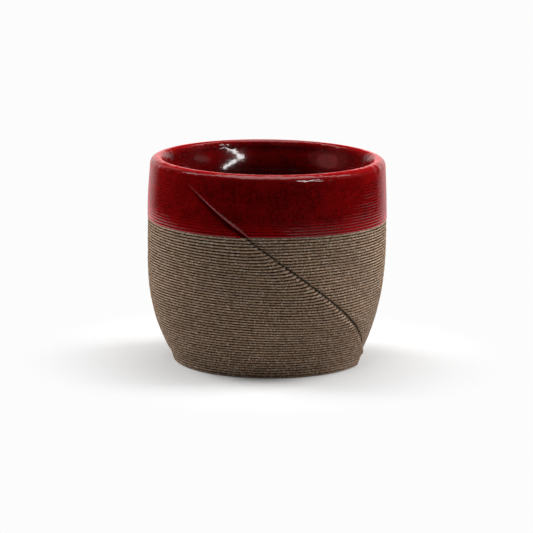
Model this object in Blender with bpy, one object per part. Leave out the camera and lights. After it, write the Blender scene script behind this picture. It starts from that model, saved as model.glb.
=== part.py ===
"""Double espresso cup without a handle, printed in stoneware and partly glazed.

Units are metres and +Z is up. The cup stands on the plane Z = 0 with its foot centred on the Z axis. Angles
are counted from the front, -Y, towards +X. One slanting crease climbs the wall: on its left the wall swells
into a lobe that rolls inwards, and on its right the wall stands up in a thin edge.
"""

import math

import bmesh
import bpy

# Outer form, over the glaze where there is glaze
CUP_HEIGHT = 0.0602
BELLY_RADIUS = 0.0350
BELLY_HEIGHT = 0.0380
BELLY_FULLNESS = 2.5
RIM_RADIUS = 0.0342
WAIST_RADIUS = 0.0284
FOOT_RADIUS = 0.0270
FOOT_HEIGHT = 0.0032
FOOT_FLARE = 0.0011
FOOT_EDGE = 0.0006
FOOT_STEP = 0.0008

# Fuller flank, low on the left
FLANK_SWELL = 0.0005
FLANK_ANGLE = math.radians(-95.0)
FLANK_REACH = math.radians(75.0)
FLANK_RISE = 0.0100
FLANK_TOP = 0.0360
FLANK_FALL = 0.0180

# Clay and glaze: the wall is thinnest at its lip, to which the inside leans outwards
BEAD_WIDTH = 0.0032
INNER_FLARE = 0.0015
FLARE_HEIGHT = 0.0120
FLARE_POWER = 1.4
FLOOR_THICKNESS = 0.0032
GLAZE_THICKNESS = 0.0005
CLEARANCE = 0.0003
DIP_DEPTH = 0.0175
LIP_COAT_DEPTH = 0.0070
CORNER_RADIUS = 0.0040

# Crease: upright at the foot, then a helix that fades out under the lip
CREASE_LEAD = 0.164
CREASE_FOOT_ANGLE = math.radians(84.0)
CREASE_BASE = 0.0040
CREASE_LIP_GAP = 0.0007
CREASE_DEPTH = 0.0014
CREASE_FOOT_DEPTH = 0.0006
CREASE_RUN_IN = 0.0060
SHOULDER_WIDTH = 0.0060
SHOULDER_FOOT_WIDTH = 0.0016
EDGE_WIDTH = 0.0010
LOBE_SWELL = 0.0022
LOBE_SPAN = 0.0500
LOBE_RUN_IN = 0.0160
FOOT_SWELL = 0.0015
FOOT_SPAN = 0.0300
EDGE_FLARE = 0.0009
EDGE_SPAN = 0.0140
INNER_SOFTENING = 0.0030
FOLLOWING_TURN = math.radians(25.0)

# Steps of the meshes
PLAIN_COLUMNS = 40
BODY_ROWS = 16
BAND_ROWS = 4
LINING_ROWS = 10
LIP_STEPS = 6
CORNER_STEPS = 3
SHOULDER_SHARES = (1.0, 0.7, 0.45, 0.22)
EDGE_SHARES = (0.0, 0.5, 1.0)
FLARE_SHARES = (0.25, 0.6)
MERGE_DISTANCE = 3e-6
SHARP_ANGLE = math.radians(35.0)

# Sizes that follow from the ones above
WALL_WIDTH = BEAD_WIDTH + CLEARANCE + GLAZE_THICKNESS
COAT_DEPTH = GLAZE_THICKNESS + CLEARANCE
LIP_CENTRE = CUP_HEIGHT - WALL_WIDTH / 2
GLAZE_LINE = CUP_HEIGHT - DIP_DEPTH
CREASE_TOP = LIP_CENTRE - CREASE_LIP_GAP
LINING_TOP = CUP_HEIGHT - LIP_COAT_DEPTH
LINING_BOTTOM = FLOOR_THICKNESS + CLEARANCE

# Colours as linear RGBA
WALL_COLOUR = (0.120, 0.080, 0.053, 1.0)
FLOOR_COLOUR = (0.110, 0.073, 0.048, 1.0)
BAND_COLOUR = (0.095, 0.002, 0.003, 1.0)
LINING_COLOUR = (0.085, 0.002, 0.003, 1.0)
CLAY_ROUGHNESS = 0.85
GLAZE_ROUGHNESS = 0.08


def smooth(share):
    """Return a soft step from 0 to 1 as share goes from 0 to 1."""
    share = min(max(share, 0.0), 1.0)
    return share * share * (3.0 - 2.0 * share)


def steps(start, end, count):
    """Return count + 1 evenly spaced values from start to end."""
    return [start + (end - start) * index / count for index in range(count + 1)]


def turned_radius(height):
    """Return the radius of the cup without its crease: foot band, body, and shoulder up to the rim."""
    if height <= FOOT_HEIGHT:
        return FOOT_RADIUS + FOOT_FLARE * height / FOOT_HEIGHT
    if height <= BELLY_HEIGHT:
        share = (BELLY_HEIGHT - height) / (BELLY_HEIGHT - FOOT_HEIGHT)
        return BELLY_RADIUS - (BELLY_RADIUS - WAIST_RADIUS) * share**BELLY_FULLNESS
    share = (height - BELLY_HEIGHT) / (CUP_HEIGHT - BELLY_HEIGHT)
    return BELLY_RADIUS - (BELLY_RADIUS - RIM_RADIUS) * share**2


def crease_angle(height):
    """Return the angle at which the crease crosses this height."""
    return CREASE_FOOT_ANGLE - 2.0 * math.pi * max(height, CREASE_BASE) / CREASE_LEAD


def flank(angle, height):
    """Return how much fuller the wall is low on the left, at an angle from the front."""
    away = (angle - FLANK_ANGLE + math.pi) % (2.0 * math.pi) - math.pi
    swell = FLANK_SWELL * smooth(1.0 - abs(away) / FLANK_REACH)
    return swell * smooth((height - FOOT_HEIGHT) / FLANK_RISE) * smooth((FLANK_TOP - height) / FLANK_FALL)


def swelling(height):
    """Return the share of their full swell that both banks of the crease have at this height."""
    below_top = smooth((CREASE_TOP - height) / (CREASE_TOP - BELLY_HEIGHT))
    return below_top * smooth((height - FOOT_HEIGHT) / LOBE_RUN_IN)


def lobe(reach, height):
    """Return how far the lobe stands out, at a distance from the crease: a swell and a corner at the foot."""
    swell = LOBE_SWELL * swelling(height) * smooth(1.0 - reach / LOBE_SPAN)
    corner = FOOT_SWELL * max(0.0, 1.0 - reach / FOOT_SPAN) ** 2
    return swell + corner * smooth(1.0 - (height - FOOT_HEIGHT) / LOBE_RUN_IN)


def edge(reach, height):
    """Return how far the thin edge on the right of the crease stands out, at a distance from the crease."""
    return EDGE_FLARE * swelling(height) * smooth(1.0 - reach / EDGE_SPAN)


def relief(offset, height, softening):
    """Return how far the wall stands out from its turned form, at an angle past the crease.

    The softening widens both banks of the crease, for the inner face of the bead.
    """
    reach = turned_radius(height) * abs(offset)
    low = smooth((height - FOOT_HEIGHT) / CREASE_RUN_IN)
    fade = smooth((CREASE_TOP - height) / (CREASE_TOP - FOOT_HEIGHT))
    groove = -fade * (CREASE_FOOT_DEPTH + (CREASE_DEPTH - CREASE_FOOT_DEPTH) * low)
    if offset < 0.0:
        plain = lobe(reach, height)
        bank = SHOULDER_FOOT_WIDTH + (SHOULDER_WIDTH - SHOULDER_FOOT_WIDTH) * low + softening
    else:
        plain = edge(reach, height)
        bank = EDGE_WIDTH + softening
    plain += flank(crease_angle(height) + offset, height)
    return groove + (plain - groove) * smooth(reach / bank)


def thickening(height):
    """Return how much thicker the wall is than its lip."""
    below = min(max((LIP_CENTRE - height) / FLARE_HEIGHT, 0.0), 1.0)
    return INNER_FLARE * (1.0 - (1.0 - below) ** FLARE_POWER)


def column_turns():
    """Return the angles past the crease at which columns stand at half height, close together near it."""
    left = [-SHOULDER_WIDTH * share / BELLY_RADIUS for share in SHOULDER_SHARES]
    bank = [EDGE_WIDTH * share / BELLY_RADIUS for share in EDGE_SHARES]
    right = [EDGE_SPAN * share / BELLY_RADIUS for share in FLARE_SHARES]
    plain = steps(EDGE_SPAN / BELLY_RADIUS, 2.0 * math.pi + left[0], PLAIN_COLUMNS)
    wrapped = [turn if turn <= math.pi else turn - 2.0 * math.pi for turn in plain[:-1]]
    return left + bank + right + wrapped


COLUMN_TURNS = column_turns()


def column_offsets(height):
    """Return the columns' angles past the crease at a height.

    Columns near the crease follow it up the wall, and the further ones lean less, until they stand upright
    at the back.
    """
    drift = crease_angle(height) - crease_angle(CUP_HEIGHT / 2)
    offsets = []
    for turn in COLUMN_TURNS:
        upright = max(0.0, abs(turn) - FOLLOWING_TURN) / (math.pi - FOLLOWING_TURN)
        offsets.append(turn - upright * drift)
    return offsets


def polar(radius, offset, height, level):
    """Return the point at a radius and level, on the column that stands at this angle at a height."""
    angle = crease_angle(height) + offset
    return (radius * math.sin(angle), -radius * math.cos(angle), level)


def outer_ring(height, depth):
    """Return a ring of points at a depth under the cup's outer face."""
    base = turned_radius(height) - depth
    offsets = column_offsets(height)
    return [polar(base + relief(offset, height, 0.0), offset, height, height) for offset in offsets]


def inner_ring(height, depth, drop=0.0):
    """Return a ring of points at a depth under the cup's inner face, moved down by a drop."""
    base = turned_radius(height) - WALL_WIDTH - thickening(height) + depth
    ring = []
    for offset in column_offsets(height):
        radius = base + relief(offset, height, INNER_SOFTENING)
        ring.append(polar(radius, offset, height, height - drop))
    return ring


def lip_rings(depth):
    """Return the rings round the lip, from its outer side to its inner side, at a depth under its face."""
    half_width = WALL_WIDTH / 2 - depth
    middle = turned_radius(LIP_CENTRE) - WALL_WIDTH / 2
    offsets = column_offsets(LIP_CENTRE)
    rings = []
    for angle in steps(0.0, math.pi, LIP_STEPS):
        radius = middle + half_width * math.cos(angle)
        level = LIP_CENTRE + half_width * math.sin(angle)
        rings.append([polar(radius, offset, LIP_CENTRE, level) for offset in offsets])
    return rings


def material(name, colour, roughness):
    """Return a Principled material."""
    made = bpy.data.materials.new(name)
    made.use_nodes = True
    shader = made.node_tree.nodes["Principled BSDF"]
    shader.inputs["Base Color"].default_value = colour
    shader.inputs["Roughness"].default_value = roughness
    shader.inputs["Metallic"].default_value = 0.0
    return made


def loft(name, rings, closed, finish):
    """Make an object by extruding the first ring along all the others.

    A closed loft ends where it began, as the section of a tube does. Any other one is capped at both ends.
    """
    shape = bmesh.new()
    column = shape.verts.layers.int.new("column")
    corners = [shape.verts.new(point) for point in rings[0]]
    for index, corner in enumerate(corners):
        corner[column] = index
    first = [shape.edges.new((corners[index - 1], corners[index])) for index in range(len(corners))]
    last = first
    path = rings[1:] + rings[:1] if closed else rings[1:]
    for ring in path:
        grown = bmesh.ops.extrude_edge_only(shape, edges=last)["geom"]
        added = {item for item in grown if isinstance(item, bmesh.types.BMVert)}
        for corner in added:
            corner.co = ring[corner[column]]
        edges = [item for item in grown if isinstance(item, bmesh.types.BMEdge)]
        last = [edge for edge in edges if added.issuperset(edge.verts)]
    if closed:
        bmesh.ops.remove_doubles(shape, verts=shape.verts, dist=MERGE_DISTANCE)
    else:
        bmesh.ops.edgeloop_fill(shape, edges=first)
        bmesh.ops.edgeloop_fill(shape, edges=last)
    bmesh.ops.triangulate(shape, faces=shape.faces, quad_method="SHORT_EDGE")
    bmesh.ops.recalc_face_normals(shape, faces=shape.faces)
    mesh = bpy.data.meshes.new(name)
    shape.to_mesh(mesh)
    shape.free()
    mesh.shade_smooth()
    mesh.set_sharp_from_angle(angle=SHARP_ANGLE)
    mesh.materials.append(finish)
    made = bpy.data.objects.new(name, mesh)
    bpy.context.collection.objects.link(made)
    return made


def stoneware_wall(clay):
    """Make the printed wall: a tube from the foot to the lip, set back where the glaze band lies on it."""
    foot = [outer_ring(0.0, FOOT_EDGE), outer_ring(FOOT_EDGE, 0.0), outer_ring(FOOT_HEIGHT, 0.0)]
    body = [outer_ring(height, 0.0) for height in steps(FOOT_HEIGHT + FOOT_STEP, GLAZE_LINE, BODY_ROWS)]
    band = [outer_ring(height, COAT_DEPTH) for height in steps(GLAZE_LINE, LIP_CENTRE, BAND_ROWS)]
    lip = lip_rings(COAT_DEPTH)[1:-1]
    mouth = [inner_ring(height, COAT_DEPTH) for height in steps(LIP_CENTRE, LINING_TOP, BAND_ROWS)]
    inside = [inner_ring(height, COAT_DEPTH) for height in steps(LINING_TOP, LINING_BOTTOM, LINING_ROWS)]
    seat = [inner_ring(FLOOR_THICKNESS, COAT_DEPTH), inner_ring(0.0, COAT_DEPTH)]
    return loft("stoneware_wall", foot + body + band + lip + mouth + inside[1:] + seat, True, clay)


def stoneware_floor(clay):
    """Make the printed floor, a disc inside the first loops of the wall."""
    side = [inner_ring(height, COAT_DEPTH - CLEARANCE) for height in (0.0, FLOOR_THICKNESS)]
    return loft("stoneware_floor", side, False, clay)


def glaze_band(glaze):
    """Make the dipped coat: up the outside from the glaze line, over the lip and a little way down."""
    outer_heights = steps(GLAZE_LINE + CLEARANCE, LIP_CENTRE, BAND_ROWS)
    inner_heights = steps(LIP_CENTRE, LINING_TOP + CLEARANCE, BAND_ROWS)
    face = [outer_ring(height, 0.0) for height in outer_heights]
    face += lip_rings(0.0)[1:-1]
    face += [inner_ring(height, 0.0) for height in inner_heights]
    back = [inner_ring(height, GLAZE_THICKNESS) for height in reversed(inner_heights)]
    back += lip_rings(GLAZE_THICKNESS)[-2:0:-1]
    back += [outer_ring(height, GLAZE_THICKNESS) for height in reversed(outer_heights)]
    return loft("glaze_band", face + back, True, glaze)


def glaze_lining(glaze):
    """Make the poured coat: from the dipped coat down the inside, round a corner and across the floor."""
    top = LINING_BOTTOM + GLAZE_THICKNESS
    heights = steps(LINING_BOTTOM, LINING_TOP, LINING_ROWS)
    outside = [inner_ring(height, GLAZE_THICKNESS) for height in heights]
    inside = [inner_ring(height, 0.0) for height in steps(LINING_TOP, top + CORNER_RADIUS, LINING_ROWS)]
    corner = []
    for angle in steps(0.0, math.pi / 2, CORNER_STEPS)[1:]:
        inwards = CORNER_RADIUS * (1.0 - math.cos(angle))
        corner.append(inner_ring(top + CORNER_RADIUS, -inwards, CORNER_RADIUS * math.sin(angle)))
    return loft("glaze_lining", outside + inside + corner, False, glaze)


def main():
    """Model the cup."""
    for leftover in list(bpy.data.objects):
        bpy.data.objects.remove(leftover, do_unlink=True)
    stoneware_wall(material("wall_clay", WALL_COLOUR, CLAY_ROUGHNESS))
    stoneware_floor(material("floor_clay", FLOOR_COLOUR, CLAY_ROUGHNESS))
    glaze_band(material("band_glaze", BAND_COLOUR, GLAZE_ROUGHNESS))
    glaze_lining(material("lining_glaze", LINING_COLOUR, GLAZE_ROUGHNESS))


main()
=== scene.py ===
"""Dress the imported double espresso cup: printed stoneware, dipped and lined in dark red glaze.

Units are metres and +Z is up. The cup stands on Z = 0 round the Z axis, and angles are counted from the
front, -Y, towards +X. One crease climbs the wall slantwise, with a swelling lobe on its left and a thin edge
on its right. Each piece is a sleeve of rings, whose columns follow the crease: a column's turn is its angle
past the crease at half height.
"""

from __future__ import annotations

import logging
import math
from dataclasses import dataclass
from enum import Enum
from typing import Any, Callable, Mapping, Sequence

import bmesh
import bpy
import numpy as np
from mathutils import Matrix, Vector

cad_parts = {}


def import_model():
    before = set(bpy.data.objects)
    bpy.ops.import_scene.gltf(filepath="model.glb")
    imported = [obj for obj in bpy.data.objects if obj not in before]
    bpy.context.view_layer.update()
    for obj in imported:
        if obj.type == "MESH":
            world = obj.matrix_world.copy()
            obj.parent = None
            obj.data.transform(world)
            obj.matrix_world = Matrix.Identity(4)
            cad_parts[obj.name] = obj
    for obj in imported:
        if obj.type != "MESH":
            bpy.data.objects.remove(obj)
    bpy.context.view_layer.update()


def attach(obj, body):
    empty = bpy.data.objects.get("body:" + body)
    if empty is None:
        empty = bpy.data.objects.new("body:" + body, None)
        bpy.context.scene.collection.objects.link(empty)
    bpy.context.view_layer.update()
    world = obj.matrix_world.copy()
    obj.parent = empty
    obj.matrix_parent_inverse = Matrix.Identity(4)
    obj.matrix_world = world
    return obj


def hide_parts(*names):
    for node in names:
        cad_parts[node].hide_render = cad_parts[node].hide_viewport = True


LOG = logging.getLogger("espresso_cup")
BODY = "root"
FULL_TURN = 2.0 * math.pi
# Slack for heights on a sleeve, and distance within which points are merged
SLACK = 1e-5
WELD = 1e-6

Array = np.ndarray
Colour = tuple[float, float, float]
Point = tuple[float, float, float]
Span = tuple[float, float]
Socket = bpy.types.NodeSocket


class Face(Enum):
    """The two faces of the cup's wall."""

    OUTER = "outer"
    INNER = "inner"


class Side(Enum):
    """The side of the cup that a lamp stands on, as a sign along X."""

    LEFT = -1.0
    RIGHT = 1.0


class Cloth(Enum):
    """The shape of a lamp's cloth, as Blender names it."""

    RECTANGLE = "RECTANGLE"
    ELLIPSE = "ELLIPSE"


class Layer(Enum):
    """What the points of a piece carry for its material, under the names that Rings gives them."""

    BEAD = "bead"
    ROLL = "roll"
    POOL = "pool"


def soft_step(share: Array) -> Array:
    """Return a soft step from 0 to 1 as the share goes from 0 to 1."""
    held = np.clip(share, 0.0, 1.0)
    return held * held * (3.0 - 2.0 * held)


def rolled_step(share: Array) -> Array:
    """Return a step from 0 to 1 that starts steeply and ends level, as a quarter of a circle does."""
    rest = 1.0 - np.clip(share, 0.0, 1.0)
    return np.sqrt(1.0 - rest * rest)


def within(distance: Array, reach: Array | float) -> Array:
    """Return 1 up to a reach, and from there a soft step to 0 at twice the reach."""
    return soft_step(2.0 - distance / reach)


def bead_at(share: Array, layers: int, slack: float) -> tuple[Array, Array]:
    """Return the bead that each point of a run lies on, and where on it.

    Args:
        share: Shares of the run.
        layers: Beads in the run.
        slack: Below 0, a groove counts to the bead before it, and above 0 to the one after it.

    Returns:
        The numbers of the beads, from 0, and the shares of their width, from 0 to 1.
    """
    layer = share * layers
    number = np.clip(np.floor(layer + slack), 0, layers - 1).astype(int)
    return number, np.clip(layer - number, 0.0, 1.0)


def spiral_phase(radius: Array, angle: Array, pitch: float) -> Array:
    """Return the share of its bead's width at which each point of a spiral lies, from 0 to 1."""
    return np.mod(radius / pitch + angle / FULL_TURN, 1.0)


@dataclass(frozen=True)
class Rings:
    """Points of the rings of a piece.

    Attributes:
        points: One point per row.
        bead: From 0 in a groove to 1 on a crest of the beads, and up to 2 where the glaze is light; it also
            carries painted shade in the clay's grooves, and painted light and shade inside the glaze.
        roll: How far the glaze has run down from each, in metres.
        pool: How far the glaze there is pooled and dull, from 0 to 1.
    """

    points: Array
    bead: Array | float = 1.0
    roll: Array | float = 0.0
    pool: Array | float = 0.0


Placing = Callable[[Array, Array], Rings]


@dataclass(frozen=True)
class Stretch:
    """A run of rings along the section of a piece.

    Attributes:
        place: Gives the rings from the columns' turns and the shares of the run.
        layers: Steps that the run is cut into first.
        rows: Steps that each of these is cut into after that.
    """

    place: Placing
    layers: int
    rows: int = 1


@dataclass(frozen=True)
class CupForm:
    """The cup's sizes, those of its solids among them, and the curves that follow from these.

    Lengths are in metres and angles in radians. Shares and amounts of light have no unit.
    """

    # Turned form
    height: float = 0.0602
    belly_radius: float = 0.0350
    belly_height: float = 0.0380
    belly_fullness: float = 2.5
    rim_radius: float = 0.0342
    waist_radius: float = 0.0284
    foot_radius: float = 0.0270
    foot_height: float = 0.0032
    foot_flare: float = 0.0011
    foot_step: float = 0.0008
    # Wall, floor and coats
    wall_width: float = 0.0040
    inner_flare: float = 0.0015
    flare_height: float = 0.0120
    flare_power: float = 1.4
    floor_top: float = 0.0035
    coat_depth: float = 0.0008
    glaze_thickness: float = 0.0005
    glaze_line: float = 0.0427
    seam_height: float = 0.05335
    # Crease
    crease_lead: float = 0.164
    crease_foot_angle: float = math.radians(84.0)
    crease_lip_gap: float = 0.0007
    crease_depth: float = 0.0014
    crease_slit: float = 0.00035
    crease_foot_depth: float = 0.0006
    crease_run_in: float = 0.0060
    crease_run_out: float = 0.0060
    crease_base: float = 0.0040
    following_turn: float = math.radians(25.0)
    # Lobe on the left of the crease, edge on its right
    shoulder_width: float = 0.0046
    shoulder_least: float = 0.0010
    shoulder_foot: float = 0.0016
    shoulder_top: float = 0.0500
    lobe_swell: float = 0.00213
    lobe_span: float = 0.0500
    lobe_run_in: float = 0.0160
    foot_swell: float = 0.0015
    foot_span: float = 0.0300
    edge_width: float = 0.00040
    edge_flare: float = 0.0009
    edge_span: float = 0.0140
    # Fuller flank low on the left
    flank_swell: float = 0.0005
    flank_angle: float = math.radians(-95.0)
    flank_reach: float = math.radians(75.0)
    flank_rise: float = 0.0100
    flank_top: float = 0.0360
    flank_fall: float = 0.0180
    # Crease under the glaze and inside
    inner_softening: float = 0.0030
    coat_softening: float = 0.0011
    edge_softness: float = 3.6
    coat_rise: float = 0.0030
    coat_shift: float = math.radians(1.4)
    glaze_fill: float = 0.55
    # Layers that hang or climb beside the crease
    lobe_sag: float = 0.00075
    edge_sag: float = 0.00015
    sag_seam: float = 0.0004
    hook_rise: float = 0.0009
    hook_span: float = 0.0095
    # Glaze that has run down inside
    roll_bend: float = 17.4
    roll_foot: float = 0.0495
    roll_start: float = 0.0012
    # Lip: its shape, and how light its glaze is
    lip_peak: float = 0.62
    lip_thin: float = 0.20
    lip_fade: float = 0.0028
    lip_bright: float = 0.42
    lip_dark: float = 0.93
    lip_fall: float = 0.26
    lip_inner_dark: float = 0.40
    # Painted shade: the lip's glaze is darker on the cup's left
    lip_left_painted_shade: float = 0.75
    lip_shade_start: float = 0.20
    lip_shade_fade: float = 0.80
    # Painted light and shade on the glaze inside: darker under the lip, lighter in a band across the back
    side_light_deep: float = 0.92
    side_light_under_lip: float = 0.43
    painted_shade_top: float = 0.0470
    painted_light_fade: float = 0.0110
    band_height: float = 0.0562
    band_below: float = 0.0054
    band_above: float = 0.0024
    band_least: float = 0.30
    band_most: float = 1.42
    band_deep: float = 0.50
    back_start: float = 0.62
    back_fade: float = 0.35

    @property
    def lip_centre(self) -> float:
        """Height of the middle of the round lip."""
        return self.height - self.wall_width / 2

    @property
    def crease_top(self) -> float:
        """Height at which the crease has faded out."""
        return self.lip_centre - self.crease_lip_gap

    @property
    def lip_lean(self) -> float:
        """Angle at which the inside leans outwards where it meets the lip."""
        return math.atan(self.inner_flare * self.flare_power / self.flare_height)

    @property
    def roll_steepness(self) -> float:
        """Steepness of the glaze's run where the inside meets the lip."""
        return 2.0 * self.roll_bend * (self.lip_centre - self.roll_foot)

    def turned_radius(self, z: Array) -> Array:
        """Return the cup's radius without its crease.

        Args:
            z: Heights.

        Returns:
            The radius at each height, from the foot band to the rim.
        """
        foot = self.foot_radius + self.foot_flare * z / self.foot_height
        low = np.clip((self.belly_height - z) / (self.belly_height - self.foot_height), 0.0, 1.0)
        high = np.clip((z - self.belly_height) / (self.height - self.belly_height), 0.0, 1.0)
        body = self.belly_radius - (self.belly_radius - self.waist_radius) * low**self.belly_fullness
        body = body - (self.belly_radius - self.rim_radius) * high**2
        step = np.clip((z - self.foot_height) / self.foot_step, 0.0, 1.0)
        return foot + (body - foot) * step

    def crease_angle(self, z: Array) -> Array:
        """Return the angle at which the crease crosses each height: glaze fills it more from the right."""
        climb = FULL_TURN * np.maximum(z, self.crease_base) / self.crease_lead
        return self.crease_foot_angle - climb - self.coat_shift * self.coated(z)

    def coated(self, z: Array) -> Array:
        """Return how far the dipped coat shapes the wall: from 0 at its lower edge to 1 above it."""
        return soft_step((z - self.glaze_line) / self.coat_rise)

    def swelling(self, z: Array) -> Array:
        """Return the share of its full swell that the lobe has at each height."""
        top = soft_step((self.crease_top - z) / (self.crease_top - self.belly_height))
        return top * soft_step((z - self.foot_height) / self.lobe_run_in)

    def relief(self, offset: Array, z: Array, softening: float) -> Array:
        """Return how far the wall stands out from its turned form.

        Args:
            offset: Angles past the crease, below 0 on the lobe.
            z: Heights.
            softening: How much wider than on bare clay its banks are, the right one more so in the coat.

        Returns:
            The distance at each point, below 0 in the crease.
        """
        reach = self.turned_radius(z) * np.abs(offset)
        lobe = self.lobe_swell * soft_step(1.0 - reach / self.lobe_span) * self.swelling(z)
        spur = self.foot_swell * np.maximum(0.0, 1.0 - reach / self.foot_span) ** 2
        lobe = lobe + spur * soft_step(1.0 - (z - self.foot_height) / self.lobe_run_in)
        edge = self.edge_flare * soft_step(1.0 - reach / self.edge_span) * self.swelling(z)
        left = offset < 0.0
        plain = np.where(left, lobe, edge) + self.flank(self.crease_angle(z) + offset, z)
        spread = 1.0 + self.edge_softness * self.swelling(z) * self.coated(z)
        bank = np.where(left, self.shoulder(z) + softening, self.edge_width + softening * spread)
        step = rolled_step if softening < self.inner_softening else soft_step
        climb = step(reach / bank)
        depth = self.groove(z) * (self.glaze_fill if softening > 0.0 else 1.0)
        return (plain + depth) * climb - depth

    def flank(self, angle: Array, z: Array) -> Array:
        """Return how much fuller the wall is low on the left.

        Args:
            angle: Angles from the front.
            z: Heights.

        Returns:
            The distance outwards at each point.
        """
        away = np.mod(angle - self.flank_angle + math.pi, FULL_TURN) - math.pi
        round_it = soft_step(1.0 - np.abs(away) / self.flank_reach)
        up_it = soft_step((z - self.foot_height) / self.flank_rise)
        up_it = up_it * soft_step((self.flank_top - z) / self.flank_fall)
        return self.flank_swell * round_it * up_it

    def thickening(self, z: Array) -> Array:
        """Return how much thicker the wall is than its lip: inside it leans outwards up to the lip."""
        below = np.clip((self.lip_centre - z) / self.flare_height, 0.0, 1.0)
        return self.inner_flare * (1.0 - (1.0 - below) ** self.flare_power)

    def roll(self, z: Array) -> Array:
        """Return how far the glaze has run down the inside under the lip, in metres of its thickness."""
        return self.roll_bend * np.clip(z - self.roll_foot, 0.0, self.lip_centre - self.roll_foot) ** 2

    def lip_roll(self, past: Array) -> Array:
        """Return the same on the lip, from the distance past its inner end: the run starts there softly."""
        run = np.clip(past, 0.0, self.roll_start)
        return self.roll(np.float64(self.lip_centre)) + self.roll_steepness * (
            run - run**2 / (2.0 * self.roll_start)
        )

    def inside_painted_light(self, angle: Array, z: Array) -> Array:
        """Return the painted light and shade on the glaze inside: painted shade under the lip, with a painted
        lighter band across the back.

        Args:
            angle: Angles from the front.
            z: Heights.

        Returns:
            The value that stands for the bead's, at each point.
        """
        under_lip = soft_step((z - self.painted_shade_top) / self.painted_light_fade)
        side = self.side_light_deep + (self.side_light_under_lip - self.side_light_deep) * under_lip
        band = soft_step(1.0 - (self.band_height - z) / self.band_below)
        band = band * soft_step(1.0 - (z - self.band_height) / self.band_above)
        deep = self.band_deep * soft_step((self.band_height - z - self.band_below) / self.painted_light_fade)
        back = self.band_least + (self.band_most - self.band_least) * band + deep
        return side + (back - side) * soft_step((-np.cos(angle) - self.back_start) / self.back_fade)

    def above_foot(self, z: Array) -> Array:
        """Return how far the crease has come to its own form over the foot band, from 0 to 1."""
        return soft_step((z - self.foot_height) / self.crease_run_in)

    def groove(self, z: Array) -> Array:
        """Return how deep the crease lies under the turned form.

        Args:
            z: Heights.

        Returns:
            The depth at each height: shallow at the foot band and on top.
        """
        share = soft_step((self.crease_top - z) / (self.crease_top - self.foot_height))
        depth = self.crease_slit + (self.crease_depth - self.crease_slit) * share
        depth = self.crease_foot_depth + (depth - self.crease_foot_depth) * self.above_foot(z)
        return depth * self.creased(z)

    def creased(self, z: Array) -> Array:
        """Return how far the crease is still there at each height: it runs out under the lip."""
        return soft_step((self.crease_top - z) / self.crease_run_out)

    def shoulder(self, z: Array) -> Array:
        """Return the width over which the lobe rolls into the crease.

        Args:
            z: Heights.

        Returns:
            The width at each height: broadest low on the wall.
        """
        share = soft_step((self.shoulder_top - z) / (self.shoulder_top - self.foot_height))
        width = self.shoulder_least + (self.shoulder_width - self.shoulder_least) * share
        return self.shoulder_foot + (width - self.shoulder_foot) * self.above_foot(z)

    def sag(self, turn: Array, z: Array) -> Array:
        """Return how far the printed layers hang below their level beside the crease.

        Args:
            turn: Turns of the columns.
            z: Heights.

        Returns:
            The distance down at each point, below 0 where the layers climb to the crease.
        """
        reach = self.turned_radius(z) * turn
        lobe = self.lobe_sag * soft_step(1.0 + reach / self.lobe_span)
        lobe = lobe - self.hook_rise * np.maximum(0.0, 1.0 + reach / self.hook_span) ** 2
        edge = self.edge_sag * soft_step(1.0 - reach / self.edge_span)
        across = soft_step(0.5 + reach / (2.0 * self.sag_seam))
        hang = lobe + (edge - lobe) * across
        hang = hang * soft_step((z - self.foot_height) / self.lobe_run_in)
        return hang * soft_step((self.glaze_line - z) / (0.5 * self.lobe_run_in))

    def column_offset(self, turn: Array, z: Array) -> Array:
        """Return the columns' angles past the crease: they follow it near by and stand upright at the back.

        Args:
            turn: Turns of the columns.
            z: Heights.

        Returns:
            The angle past the crease at each point.
        """
        drift = self.crease_angle(z) - self.crease_angle(self.height / 2)
        upright = np.maximum(0.0, np.abs(turn) - self.following_turn) / (math.pi - self.following_turn)
        return turn - upright * drift

    def past_crease(self, turn: Array, z: Array) -> Array:
        """Return how far along the wall each point lies past the crease, below 0 on the lobe."""
        return self.turned_radius(z) * self.column_offset(turn, z)

    def angle(self, turn: Array, z: Array) -> Array:
        """Return the angle from the front at which each column stands."""
        return self.crease_angle(z) + self.column_offset(turn, z)

    def at_radius(self, radius: Array, turn: Array, z: Array, level: Array) -> Array:
        """Return points at a radius and level, on the columns as they stand at a height.

        Args:
            radius: Distances from the axis.
            turn: Turns of the columns.
            z: Heights at which the columns' angles are taken.
            level: Heights of the points themselves.

        Returns:
            One point per row.
        """
        angle = self.angle(turn, z)
        return np.column_stack([radius * np.sin(angle), -radius * np.cos(angle), level + 0.0 * radius])

    def skin_radius(self, face: Face, turn: Array, z: Array, inset: Array, softening: float = 0.0) -> Array:
        """Return the radius of a face of the wall.

        Args:
            face: The face.
            turn: Turns of the columns.
            z: Heights.
            inset: Depth under the face.
            softening: How much wider than on bare clay the banks of the crease are outside.

        Returns:
            The radius at each point.
        """
        offset = self.column_offset(turn, z)
        if face is Face.OUTER:
            return self.turned_radius(z) + self.relief(offset, z, softening) - inset
        width = self.wall_width + self.thickening(z)
        return self.turned_radius(z) + self.relief(offset, z, self.inner_softening) - width + inset

    def skin(self, face: Face, turn: Array, z: Array, inset: Array, softening: float = 0.0) -> Array:
        """Return points on a face of the wall, with the same arguments as skin_radius."""
        return self.at_radius(self.skin_radius(face, turn, z, inset, softening), turn, z, z)


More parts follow.
